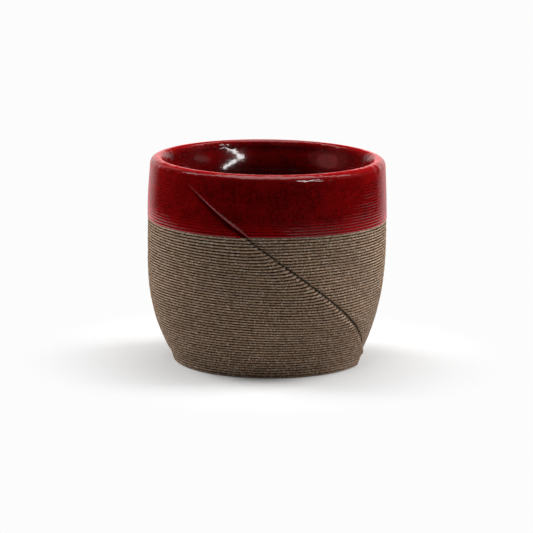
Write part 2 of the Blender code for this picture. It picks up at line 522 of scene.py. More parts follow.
class BeadDrift:
    """Small seeded wanderings of the printed beads, different in every layer."""

    WAVES = (2, 3, 5, 8, 13, 21, 34, 55, 72)
    WEIGHTS = (0.3, 1.0)

    def __init__(self, seed: int, layers: int) -> None:
        """Draw the waves of every layer.

        Args:
            seed: Start of the random draws.
            layers: Beads in the run.
        """
        draw = np.random.default_rng(seed)
        size = (layers + 1, len(self.WAVES))
        self.phases = draw.uniform(0.0, FULL_TURN, size)
        self.weights = draw.uniform(*self.WEIGHTS, size) / math.sqrt(len(self.WAVES))

    def at(self, layer: Array, angle: Array) -> Array:
        """Return the wander of the layers.

        Args:
            layer: Numbers of the beads.
            angle: Angles from the front.

        Returns:
            The wander at each point, mostly from -1 to 1.
        """
        total = np.zeros_like(angle)
        for index, wave in enumerate(self.WAVES):
            total += self.weights[layer, index] * np.sin(wave * angle + self.phases[layer, index])
        return total


@dataclass(frozen=True)
class BeadShape:
    """Section of a printed bead as it shows on the wall: a round crest between two sharp grooves.

    Attributes:
        pitch: Distance from one groove to the next.
        depth: Height of the crest over the grooves.
    """

    pitch: float = 0.00082
    depth: float = 0.00020

    def crest(self, phase: Array) -> Array:
        """Return the height over the groove.

        Args:
            phase: Shares of the bead's width.

        Returns:
            The height at each point, from 0 in the groove to 1 on the crest.
        """
        half = self.pitch / 2
        radius = (half**2 + self.depth**2) / (2.0 * self.depth)
        across = (phase - 0.5) * self.pitch
        rise = np.sqrt(radius**2 - across**2) - (radius - self.depth)
        return np.clip(rise / self.depth, 0.0, 1.0)


class Value:
    """A number that varies over a surface: a socket whose arithmetic adds Math nodes."""

    def __init__(self, sheet: Sheet, socket: Socket) -> None:
        """Wrap a socket of a sheet."""
        self.sheet = sheet
        self.socket = socket

    def _with(self, operation: str, first: Any, second: Any) -> Value:
        """Return the result of a Math node on two values."""
        made = self.sheet.add("ShaderNodeMath", {"operation": operation}, {0: first, 1: second})
        return Value(self.sheet, made.outputs[0])

    def __add__(self, other: Value | float) -> Value:
        """Add."""
        return self._with("ADD", self, other)

    __radd__ = __add__

    def __sub__(self, other: Value | float) -> Value:
        """Subtract."""
        return self._with("SUBTRACT", self, other)

    def __rsub__(self, other: Value | float) -> Value:
        """Subtract this value from another."""
        return self._with("SUBTRACT", other, self)

    def __mul__(self, other: Value | float) -> Value:
        """Multiply."""
        return self._with("MULTIPLY", self, other)

    __rmul__ = __mul__

    def at_least(self, other: Value | float) -> Value:
        """Return the larger of two values."""
        return self._with("MAXIMUM", self, other)


@dataclass(frozen=True)
class Grain:
    """A noise over a surface.

    Attributes:
        scale: Features to the metre.
        detail: Octaves of finer features.
        roughness: Strength of each octave beside the one before.
        flatness: How many times lower than wide the features are.
    """

    scale: float
    detail: float = 2.0
    roughness: float = 0.5
    flatness: float = 1.0


class Sheet:
    """The nodes of one material or world."""

    # Numbers of the Mix node's colour sockets, whose names others share
    MIX_FIRST = 6
    MIX_SECOND = 7
    MIX_RESULT = 2

    def __init__(self, tree: bpy.types.NodeTree) -> None:
        """Start an empty sheet."""
        self.tree = tree
        tree.nodes.clear()

    def add(
        self,
        kind: str,
        settings: Mapping[str, Any] | None = None,
        sockets: Mapping[str | int, Any] | None = None,
    ) -> bpy.types.Node:
        """Add a node.

        Args:
            kind: The node's type.
            settings: Its properties, which are set first.
            sockets: Values or links of its inputs, by name or number.

        Returns:
            The node.
        """
        made = self.tree.nodes.new(kind)
        for name, setting in (settings or {}).items():
            setattr(made, name, setting)
        for name, value in (sockets or {}).items():
            self._feed(made.inputs[name], value)
        return made

    def _feed(self, entry: Socket, value: Any) -> None:
        """Link a value or socket to an input, or set the input's own value.

        Args:
            entry: The input.
            value: A value, a socket, a number, a colour or a vector.
        """
        if isinstance(value, Value):
            self.tree.links.new(value.socket, entry)
        elif isinstance(value, Socket):
            self.tree.links.new(value, entry)
        elif entry.type == "RGBA":
            entry.default_value = (*value, 1.0)
        else:
            entry.default_value = value

    def value(
        self, kind: str, settings: Mapping[str, Any], sockets: Mapping[str | int, Any], out: str
    ) -> Value:
        """Add a node and return one of its outputs as a value."""
        return Value(self, self.add(kind, settings, sockets).outputs[out])

    def place(self) -> Socket:
        """Return the Object coordinates."""
        return self.add("ShaderNodeTexCoord").outputs["Object"]

    def carried(self, layer: Layer) -> Value:
        """Return what the points carry in a layer."""
        return self.value("ShaderNodeAttribute", {"attribute_name": layer.value}, {}, "Fac")

    def noise(self, place: Socket, grain: Grain) -> Value:
        """Return a noise at a place on the surface.

        Args:
            place: Coordinates.
            grain: What the noise is like.

        Returns:
            The noise, mostly from 0.25 to 0.75.
        """
        factors = (1.0, 1.0, grain.flatness)
        scaled = self.add("ShaderNodeVectorMath", {"operation": "MULTIPLY"}, {0: place, 1: factors})
        sockets = {
            "Vector": scaled.outputs["Vector"],
            "Scale": grain.scale,
            "Detail": grain.detail,
            "Roughness": grain.roughness,
        }
        return self.value("ShaderNodeTexNoise", {"noise_dimensions": "3D"}, sockets, "Fac")

    def between(self, value: Value, span: Span) -> Value:
        """Return a soft step from 0 to 1 as a value goes from the span's start to its end."""
        sockets = {"Value": value, "From Min": span[0], "From Max": span[1]}
        return self.value("ShaderNodeMapRange", {"interpolation_type": "SMOOTHSTEP"}, sockets, "Result")

    def mix(self, share: Value, first: Any, second: Any) -> Socket:
        """Return a colour between two colours."""
        sockets = {"Factor": share, self.MIX_FIRST: first, self.MIX_SECOND: second}
        return self.add("ShaderNodeMix", {"data_type": "RGBA"}, sockets).outputs[self.MIX_RESULT]

    def bump(self, height: Value, distance: float) -> Socket:
        """Return normals of a relief whose full height is a distance in metres."""
        sockets = {"Height": height, "Distance": distance, "Strength": 1.0}
        return self.add("ShaderNodeBump", {}, sockets).outputs["Normal"]

    def principled(self, sockets: Mapping[str | int, Any]) -> Socket:
        """Return a Principled shader with the given inputs."""
        return self.add("ShaderNodeBsdfPrincipled", {}, sockets).outputs["BSDF"]

    def blended(self, share: Value, first: Socket, second: Socket) -> Socket:
        """Return a shader between two shaders."""
        return self.add("ShaderNodeMixShader", {}, {0: share, 1: first, 2: second}).outputs[0]

    def show(self, surface: Socket) -> None:
        """Make a shader the material's surface."""
        self.add("ShaderNodeOutputMaterial", {}, {"Surface": surface})


def new_material(name: str) -> tuple[bpy.types.Material, Sheet]:
    """Return a new material and its empty sheet.

    Args:
        name: The material's name.

    Returns:
        The material and the sheet of its nodes.
    """
    made = bpy.data.materials.new(name)
    made.use_nodes = True
    return made, Sheet(made.node_tree)


@dataclass(frozen=True)
class ClayFinish:
    """Bare fired stoneware: matt, taupe on the crests of the beads, with painted shade dark in the grooves,
    and pale specks.

    Attributes:
        crest, groove, speck: Colours on the crests, in the grooves and pits, and of the specks; the groove's
            near black is painted shade of the recesses.
        lit: Beads' values between which the clay goes from the groove's painted shade to the crest's colour.
        plain_share, blotch_share, stroke_share: How light the crests are, and how much of it varies.
        blotch, fleck, dash, grain: Noises from coarse to fine.
        stroke_span, speck_span, pit_span: Their values between which strokes, specks and pits come in.
        speck_share, pit_share: How clearly specks and pits show.
        grain_depth, fleck_relief: Height of the grain, and of the flecks beside it.
        dust, dust_spread, dust_colour: Pale dust that shows at a flat angle.
    """

    crest: Colour = (0.340, 0.219, 0.140)
    # Near black: painted shade of the grooves between the beads
    groove: Colour = (0.013, 0.0045, 0.0009)
    speck: Colour = (0.78, 0.68, 0.56)
    lit: Span = (0.64, 0.98)
    plain_share: float = 0.36
    blotch_share: float = 0.35
    stroke_share: float = 0.65
    blotch: Grain = Grain(330.0, 3.0, flatness=3.0)
    fleck: Grain = Grain(1900.0, flatness=1.8)
    dash: Grain = Grain(1350.0, roughness=0.6, flatness=2.2)
    grain: Grain = Grain(3800.0, 3.0, 0.6)
    stroke_span: Span = (0.36, 0.64)
    speck_span: Span = (0.54, 0.68)
    speck_share: float = 0.52
    pit_span: Span = (0.46, 0.30)
    pit_share: float = 0.45
    grain_depth: float = 0.00005
    fleck_relief: float = 0.6
    roughness: float = 0.92
    specular: float = 0.06
    dust: float = 0.07
    dust_spread: float = 0.45
    dust_colour: Colour = (1.0, 0.86, 0.74)

    def material(self, name: str) -> bpy.types.Material:
        """Return the finish as a material.

        Args:
            name: The material's name.

        Returns:
            The material.
        """
        made, sheet = new_material(name)
        place = sheet.place()
        bead = sheet.carried(Layer.BEAD)
        fleck = sheet.noise(place, self.fleck)
        grain = sheet.noise(place, self.grain)
        strokes = sheet.between(sheet.noise(place, self.dash), self.stroke_span)
        blotch = sheet.noise(place, self.blotch)
        light = self.plain_share + self.blotch_share * blotch + self.stroke_share * strokes
        # Painted shade: towards the grooves the clay darkens to the groove colour
        clay = sheet.mix(sheet.between(bead, self.lit) * light, self.groove, self.crest)
        specks = sheet.between(fleck, self.speck_span) * bead * self.speck_share
        clay = sheet.mix(specks, clay, self.speck)
        clay = sheet.mix(sheet.between(grain, self.pit_span) * self.pit_share, clay, self.groove)
        shader = sheet.principled(
            {
                "Base Color": clay,
                "Roughness": self.roughness,
                "Specular IOR Level": self.specular,
                "Sheen Weight": self.dust,
                "Sheen Roughness": self.dust_spread,
                "Sheen Tint": self.dust_colour,
                "Normal": sheet.bump(grain + self.fleck_relief * fleck, self.grain_depth),
            }
        )
        sheet.show(shader)
        return made


@dataclass(frozen=True)
class GlazeFinish:
    """Dark red glaze: glossy, lighter where it is thin on the crests, mottled, dull where it has pooled.

    Attributes:
        thin, pooled, lip: Colours where the glaze is thin, where it has pooled, and at its lightest; pooled
            and lip also serve the painted shade and painted light inside.
        mottle, runs, cloud, skin, ripple: Noises in the colour and in the relief.
        mottle_span, run_span, cloud_span: Their values between which the glaze goes from pooled to thin.
        plain_share, mottle_share, run_share, cloud_share: How thin the glaze is, and how much of it varies.
        lip_share: How far the lip's colour shows before the mottle.
        skin_depth, run_relief, mottle_relief: Height of the skin, and of runs and mottle beside it.
        ripple_depth, ripple_rise: Height of the ripple on the lip, and between which heights it comes in.
        scatter, scatter_spread, scatter_colour: Red light that the glaze gives back at a flat angle.
    """

    thin: Colour = (0.151, 0.0008, 0.0012)
    pooled: Colour = (0.026, 0.0001, 0.0002)
    lip: Colour = (0.25, 0.003, 0.004)
    mottle: Grain = Grain(1300.0, 4.0, 0.6)
    runs: Grain = Grain(900.0, flatness=0.22)
    cloud: Grain = Grain(190.0, 3.0)
    skin: Grain = Grain(700.0)
    ripple: Grain = Grain(420.0, 1.0)
    mottle_span: Span = (0.33, 0.67)
    run_span: Span = (0.30, 0.70)
    cloud_span: Span = (0.34, 0.66)
    plain_share: float = 0.16
    mottle_share: float = 0.54
    run_share: float = 0.16
    cloud_share: float = 0.26
    crest_span: Span = (0.0, 1.0)
    lip_span: Span = (1.0, 2.0)
    lip_share: float = 0.5
    skin_depth: float = 0.000026
    run_relief: float = 0.5
    mottle_relief: float = 0.3
    ripple_depth: float = 0.00022
    ripple_rise: Span = (0.0572, 0.0586)
    roughness: float = 0.07
    roughness_spread: float = 0.08
    dull_roughness: float = 0.80
    scatter: float = 0.80
    scatter_spread: float = 0.34
    scatter_colour: Colour = (1.0, 0.03, 0.035)

    def material(self, name: str) -> bpy.types.Material:
        """Return the finish as a material.

        Args:
            name: The material's name.

        Returns:
            The material.
        """
        made, sheet = new_material(name)
        place = sheet.place()
        mottle = sheet.noise(place, self.mottle)
        runs = sheet.noise(place, self.runs)
        red = self._red(sheet, place, mottle, runs)
        rise = sheet.value("ShaderNodeSeparateXYZ", {}, {"Vector": place}, "Z")
        ripple = (sheet.noise(place, self.ripple) - 0.5) * sheet.between(rise, self.ripple_rise)
        skin = sheet.noise(place, self.skin) + self.run_relief * runs + self.mottle_relief * mottle
        uneven = skin * self.skin_depth + ripple * self.ripple_depth
        glossy = sheet.principled(
            {
                "Base Color": red,
                "Roughness": self.roughness + self.roughness_spread * mottle,
                "Sheen Weight": self.scatter,
                "Sheen Roughness": self.scatter_spread,
                "Sheen Tint": self.scatter_colour,
                "Normal": sheet.bump(uneven - sheet.carried(Layer.ROLL), 1.0),
            }
        )
        dull = sheet.principled(
            {"Base Color": red, "Roughness": self.dull_roughness, "Specular IOR Level": 0.0}
        )
        sheet.show(sheet.blended(sheet.carried(Layer.POOL), glossy, dull))
        return made

    def _red(self, sheet: Sheet, place: Socket, mottle: Value, runs: Value) -> Socket:
        """Return the glaze's colour.

        Args:
            sheet: The material's sheet.
            place: Coordinates.
            mottle: The fine noise.
            runs: The noise that is drawn out downwards.

        Returns:
            The colour: from pooled over thin to that of the lip.
        """
        bead = sheet.carried(Layer.BEAD)
        thinness = sheet.between(mottle, self.mottle_span) * self.mottle_share
        thinness = thinness + sheet.between(runs, self.run_span) * self.run_share
        cloud = sheet.between(sheet.noise(place, self.cloud), self.cloud_span)
        thinness = thinness + self.plain_share + self.cloud_share * cloud
        red = sheet.mix(thinness * sheet.between(bead, self.crest_span), self.pooled, self.thin)
        return sheet.mix(sheet.between(bead, self.lip_span) * (self.lip_share + mottle), red, self.lip)


@dataclass
class RingedPiece:
    """A piece of the cup that is made of rings round its axis.

    Attributes:
        form: The cup's form.
        finish: What the piece is made of.
        node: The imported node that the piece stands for.
        slot: The record's material slot.
        columns: Points of each ring.
        crowding: Share of an even spacing that the columns keep beside the crease.
        sharp_angle: Angle between faces over which an edge is sharp.
    """

    form: CupForm
    finish: ClayFinish | GlazeFinish
    node: str
    slot: str
    columns: int = 288
    crowding: float = 0.13
    sharp_angle: float = math.radians(55.0)

    def stretches(self) -> list[Stretch]:
        """Return the runs of rings along the piece's section."""
        raise NotImplementedError

    def build(self) -> bpy.types.Object:
        """Model the piece, dress it and set it on the cup's body.

        Returns:
            The finished piece.
        """
        stretches = self.stretches()
        piece = self._raise_sleeve(stretches)
        self._shape(piece, stretches)
        self._close()
        piece.data.materials.clear()
        piece.data.materials.append(self.finish.material(self.slot))
        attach(piece, BODY)
        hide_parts(self.node)
        piece.data.calc_loop_triangles()
        LOG.info("%s: %d triangles", piece.name, len(piece.data.loop_triangles))
        return piece

    def _raise_sleeve(self, stretches: Sequence[Stretch]) -> bpy.types.Object:
        """Extrude a circle once for each stretch, and cut each stretch into its layers and rows.

        Args:
            stretches: The runs of rings.

        Returns:
            A sleeve on which the runs are each 1 m high.
        """
        bpy.ops.object.select_all(action="DESELECT")
        bpy.ops.mesh.primitive_circle_add(vertices=self.columns, radius=1.0, fill_type="NOTHING")
        piece = bpy.context.object
        piece.name = f"{self.node}_fired"
        piece.data.name = piece.name
        bpy.ops.object.mode_set(mode="EDIT")
        bpy.ops.mesh.select_mode(type="EDGE")
        bpy.ops.mesh.select_all(action="SELECT")
        for _ in stretches:
            bpy.ops.mesh.extrude_region_move(TRANSFORM_OT_translate={"value": (0.0, 0.0, 1.0)})
        for number, stretch in enumerate(stretches):
            for parts in (stretch.layers, stretch.rows):
                if parts > 1:
                    self._select_upright(piece, number)
                    bpy.ops.mesh.subdivide(number_cuts=parts - 1)
        bpy.ops.object.mode_set(mode="OBJECT")
        return piece

    @staticmethod
    def _select_upright(piece: bpy.types.Object, number: int) -> None:
        """Select the upright edges of one stretch of a sleeve.

        Args:
            piece: The sleeve.
            number: The stretch's number, from 0.
        """
        bpy.ops.mesh.select_all(action="DESELECT")
        shape = bmesh.from_edit_mesh(piece.data)
        for edge in shape.edges:
            low, high = sorted(corner.co.z for corner in edge.verts)
            edge.select = high - low > SLACK and low > number - SLACK and high < number + 1 + SLACK
        bmesh.update_edit_mesh(piece.data)

    def _shape(self, piece: bpy.types.Object, stretches: Sequence[Stretch]) -> None:
        """Move the sleeve's points to their places, and note what each carries for the material.

        Args:
            piece: The sleeve.
            stretches: The runs of rings.
        """
        count = len(piece.data.vertices)
        flat = np.empty(count * 3)
        piece.data.vertices.foreach_get("co", flat)
        x, y, rise = flat.reshape(-1, 3).T
        column = np.round(np.arctan2(y, x) / FULL_TURN * self.columns) % self.columns
        across = 2.0 * column / self.columns - 1.0
        turn = math.pi * (self.crowding * across + (1.0 - self.crowding) * across * np.abs(across))
        points = np.empty((count, 3))
        carried = {layer: np.zeros(count) for layer in Layer}
        for number, stretch in enumerate(stretches):
            chosen = (rise > number - SLACK) & (rise < number + 1 + SLACK)
            # Whole steps, so that the points in the grooves fall on the same beads in every run
            steps = stretch.layers * stretch.rows
            rings = stretch.place(turn[chosen], np.round((rise[chosen] - number) * steps) / steps)
            points[chosen] = rings.points
            for layer, values in carried.items():
                values[chosen] = getattr(rings, layer.value)
        piece.data.vertices.foreach_set("co", points.ravel())
        for layer, values in carried.items():
            made = piece.data.attributes.new(layer.value, "FLOAT", "POINT")
            made.data.foreach_set("value", values.astype(np.float32))
        piece.data.update()

    def _close(self) -> None:
        """Join the ends of the piece at hand, turn its faces outwards and smooth it."""
        bpy.ops.object.mode_set(mode="EDIT")
        bpy.ops.mesh.select_mode(type="VERT")
        bpy.ops.mesh.select_all(action="SELECT")
        bpy.ops.mesh.remove_doubles(threshold=WELD)
        bpy.ops.mesh.normals_make_consistent(inside=False)
        bpy.ops.object.mode_set(mode="OBJECT")
        bpy.ops.object.shade_smooth_by_angle(angle=self.sharp_angle)
        bpy.ops.object.select_all(action="DESELECT")

    def plain(self, face: Face, start: float, end: float, inset: float, layers: int) -> Stretch:
        """Return a stretch without beads along a face of the wall.

        Args:
            face: The face.
            start: Height at which the stretch starts.
            end: Height at which it ends.
            inset: Depth under the face, with its coat of glaze.
            layers: Steps of the stretch.

        Returns:
            The stretch.
        """

        def place(turn: Array, share: Array) -> Rings:
            """Place the rings from the start to the end height."""
            z = start + (end - start) * share
            return Rings(self.form.skin(face, turn, z, inset, self.form.coat_softening))

        return Stretch(place, layers)

    def lip(self, inset: float, layers: int) -> Stretch:
        """Return the stretch round the lip from its outer to its inner side.

        Args:
            inset: Depth under the lip's face.
            layers: Steps of the stretch.

        Returns:
            The stretch.
        """
        form = self.form
        half = form.wall_width / 2 - inset

        def place(turn: Array, share: Array) -> Rings:
            """Place the rings round the lip.

            Args:
                turn: Turns of the columns.
                share: Shares of the way round.

            Returns:
                The rings, light on top, dark at the inner edge, and with painted shade on the cup's left.
            """
            z = np.full_like(turn, form.lip_centre)
            angle = math.pi * share
            reach = form.wall_width * np.where(share < 0.5, form.lip_peak, 1.0 - form.lip_peak) - inset
            radius = form.turned_radius(z) - form.wall_width * form.lip_peak + reach * np.cos(angle)
            lean = half * math.tan(form.lip_lean) * np.sin(angle)
            radius = radius + lean * soft_step(2.0 * share - 1.0)
            level = form.lip_centre + half * np.sin(angle)
            outer = form.lip_thin + (1.0 - form.lip_thin) * soft_step(share / form.lip_bright)
            outer = outer * soft_step((form.lip_dark - share) / form.lip_fall)
            # Painted shade on the left of the lip
            left = soft_step((-np.sin(form.angle(turn, z)) - form.lip_shade_start) / form.lip_shade_fade)
            outer = outer * (1.0 - form.lip_left_painted_shade * left * soft_step((1.0 - share) / form.lip_bright - 1.0))
            # Darker towards the lip's inner edge
            inner = form.lip_inner_dark * soft_step((share - form.lip_dark) / form.lip_fall + 1.0)
            roll = form.lip_roll((1.0 - share) * math.pi * half)
            return Rings(form.at_radius(radius, turn, z, level), 1.0 + outer - inner, roll)

        return Stretch(place, layers)


@dataclass
class PrintedWall(RingedPiece):
    """The clay wall, printed bead on bead, bare up to the glaze line.

    Attributes:
        layers, rows: Beads from the table to the glaze line, and rows of faces on each.
        seed: Start of the random draws.
        bead: Section of a bead.
        bare_top: Height of the topmost bare bead, just under the edge of the glaze.
        ledge_rise: Height of the step on which the glaze's edge lies.
        skin: Least depth of the crests under the outer form.
        wander: How far the beads wander in and out.
        unevenness: How much the grooves vary in depth.
        uneven_shade: Share of this by which their painted shade varies.
        foot_edge: Rounding of the lowest bead on the table.
        bank_smear, bank_reach: How far, and how near to the crease, the right bank's beads are smeared flat.
        lobe_smear, lobe_reach: The same on the lobe.
        side_smear, side_start, side_end: The same farther to the right, between two shares of smeared_width.
        smeared_width, smeared_top, smeared_fall: Place of the smear low on the right.
        foot_smear, foot_reach: The same above the table.
        flattening: Share of a bead's depth that a full smear takes.
        smeared_bead: Value of a smeared bead.
        shade, painted_shade_share: Painted shade on the lobe's shoulder: how much darker its colour is, and
            over how much of its width.
    """

    layers: int = 52
    rows: int = 6
    seed: int = 11
    bead: BeadShape = BeadShape(0.000822, 0.00033)
    bare_top: float = 0.04275
    ledge_rise: float = 0.0002
    skin: float = 0.00004
    wander: float = 0.00004
    unevenness: float = 0.40
    uneven_shade: float = 0.5
    foot_edge: float = 0.0005
    bank_smear: float = 0.80
    bank_reach: float = 0.0013
    lobe_smear: float = 0.38
    lobe_reach: float = 0.0060
    side_smear: float = 0.55
    side_start: float = 0.4
    side_end: float = 2.2
    smeared_width: float = 0.0160
    smeared_top: float = 0.0230
    smeared_fall: float = 0.0090
    foot_smear: float = 0.70
    foot_reach: float = 0.0140
    flattening: float = 0.75
    smeared_bead: float = 0.78
    # Painted shade on the lobe's shoulder beside the crease
    shade: float = 0.12
    painted_shade_share: float = 0.36

    def smear(self, past: Array, z: Array) -> Array:
        """Return how far the beads are smeared flat: beside the crease, low on the right and at the foot.

        Args:
            past: Distances past the crease.
            z: Heights.

        Returns:
            The smear at each point, from 0 to 1.
        """
        bank = self.bank_smear * soft_step(1.0 - past / self.bank_reach)
        low = soft_step((self.smeared_top - z) / self.smeared_fall) * within(past, self.smeared_width)
        side = self.side_smear * soft_step(past / self.smeared_width - self.side_start)
        side = side * soft_step(self.side_end - past / self.smeared_width)
        lobe = self.lobe_smear * soft_step(1.0 + past / self.lobe_reach)
        beside = np.where(past > 0.0, np.maximum(np.maximum(bank, low), side), lobe)
        return np.maximum(beside, self.foot_smear * soft_step((self.foot_reach - z) / self.foot_reach))

    def shoulder_painted_shade(self, past: Array, z: Array) -> Array:
        """Return where the lobe's shoulder gets painted shade: 1 beside the crease, and 0 away from it and on
        the right.
        """
        return np.where(past < 0.0, within(-past, self.painted_shade_share * self.form.shoulder(z)), 0.0)

    def beads(self, turn: Array, share: Array) -> Rings:
        """Place the rings of the printed beads.

        Args:
            turn: Turns of the columns.
            share: Shares of the way from the table to the glaze line.

        Returns:
            The rings.
        """
        form = self.form
        number, phase = bead_at(share, self.layers, -SLACK)
        level = share * self.bare_top
        z = level - form.sag(turn, level)
        wander = BeadDrift(self.seed, self.layers).at(number, form.angle(turn, z))
        crest = self.bead.crest(phase)
        past = form.past_crease(turn, z)
        flat = self.flattening * self.smear(past, z)
        depth = self.bead.depth * (1.0 + self.unevenness * wander) * (1.0 - flat)
        inset = self.skin + depth * (1.0 - crest) + self.wander * (1.0 - wander)
        inset = inset + self.foot_edge * soft_step(1.0 - z / self.foot_edge) ** 2
        # Painted shade: the value falls into the grooves, darker where they are deeper
        shown = 1.0 - (1.0 - crest) * (1.0 + self.uneven_shade * self.unevenness * wander)
        shown = shown + (self.smeared_bead - shown) * flat
        # Painted shade: the crests on the lobe's shoulder are darkened beside the crease
        shown = shown * (1.0 - self.shade * self.shoulder_painted_shade(past, z))
        radius = form.skin_radius(Face.OUTER, turn, z, inset)
        coated = form.skin_radius(Face.OUTER, turn, z, inset, form.coat_softening)
        under = soft_step((z - form.glaze_line) / self.bead.pitch + 1.0)
        radius = radius + np.minimum(coated - radius, 0.0) * under
        return Rings(form.at_radius(radius, turn, z, z), np.clip(shown, 0.0, 1.0))

    def underside(self, turn: Array, share: Array) -> Rings:
        """Place the rings of the ring that stands on the table.

        Args:
            turn: Turns of the columns.
            share: Shares of the way from the inside to the outside.

        Returns:
            The rings.
        """
        z = np.zeros_like(turn)
        inside = self.form.skin_radius(Face.INNER, turn, z, self.form.coat_depth)
        outside = self.form.skin_radius(Face.OUTER, turn, z, self.foot_edge + self.bead.depth)
        return Rings(self.form.at_radius(inside + (outside - inside) * share, turn, z, z))

    def ledge(self, turn: Array, share: Array) -> Rings:
        """Place the rings of the step on which the glaze band's edge lies.

        Args:
            turn: Turns of the columns.
            share: Shares of the way inwards and up.

        Returns:
            The rings.
        """
        z = self.bare_top + self.ledge_rise * share
        inset = self.bead.depth + (self.form.coat_depth - self.bead.depth) * share
        bare = self.form.skin_radius(Face.OUTER, turn, z, inset)
        coated = self.form.skin_radius(Face.OUTER, turn, z, inset, self.form.coat_softening)
        start = np.minimum(bare, coated)
        return Rings(self.form.at_radius(start + (coated - start) * share, turn, z, z))

    def stretches(self) -> list[Stretch]:
        """Return the runs of rings along the wall's section.

        Returns:
            The underside, the beads, the wall under the glaze, the lip and the inside.
        """
        form = self.form
        covered = form.coat_depth
        return [
            Stretch(self.underside, layers=2),
            Stretch(self.beads, self.layers, self.rows),
            Stretch(self.ledge, layers=2),
            self.plain(Face.OUTER, self.bare_top + self.ledge_rise, form.lip_centre, covered, layers=5),
            self.lip(covered, layers=6),
            self.plain(Face.INNER, form.lip_centre, form.floor_top, covered, layers=12),
            self.plain(Face.INNER, form.floor_top, 0.0, covered, layers=1),
        ]


@dataclass
class PrintedFloor(RingedPiece):
    """The clay floor, printed as one spiral bead inside the first beads of the wall.

    Attributes:
        loops, rows: Turns of the spiral, and rows of faces on each.
        bead: Section of the bead as it shows on the underside.
        sharpness: Power that makes the grooves narrow.
        middle: Share of the radius within which the spiral has its start.
        clearance: Gap to the wall.
        thickness: Thickness of the floor.
    """

    columns: int = 216
    loops: int = 11
    rows: int = 6
    bead: BeadShape = BeadShape(0.0022, 0.00022)
    sharpness: float = 0.6
    middle: float = 0.02
    clearance: float = 0.0005
    thickness: float = 0.0032

    def edge(self, turn: Array, z: Array) -> Array:
        """Return the radius of the floor's edge."""
        return self.form.skin_radius(Face.INNER, turn, z, self.clearance)

    def underside(self, turn: Array, share: Array) -> Rings:
        """Place the rings of the spiral.

        Args:
            turn: Turns of the columns.
            share: Shares of the way from the middle to the edge.

        Returns:
            The rings.
        """
        z = np.zeros_like(turn)
        radius = self.edge(turn, z) * share
        phase = spiral_phase(radius, self.form.angle(turn, z), self.bead.pitch)
        crest = np.where(share > self.middle, np.abs(np.sin(math.pi * phase)) ** self.sharpness, 1.0)
        # Painted shade in the spiral's grooves, through the bead's value
        return Rings(self.form.at_radius(radius, turn, z, self.bead.depth * (1.0 - crest)), crest)

    def side(self, turn: Array, share: Array) -> Rings:
        """Place the rings of the edge."""
        z = self.thickness * share
        return Rings(self.form.at_radius(self.edge(turn, z), turn, z, z))

    def top(self, turn: Array, share: Array) -> Rings:
        """Place the rings of the covered top from the edge to the middle."""
        z = np.full_like(turn, self.thickness)
        return Rings(self.form.at_radius(self.edge(turn, z) * (1.0 - share), turn, z, z))

    def stretches(self) -> list[Stretch]:
        """Return the spiral underside, the edge and the top."""
        return [
            Stretch(self.underside, self.loops, self.rows),
            Stretch(self.side, layers=1),
            Stretch(self.top, layers=4),
        ]


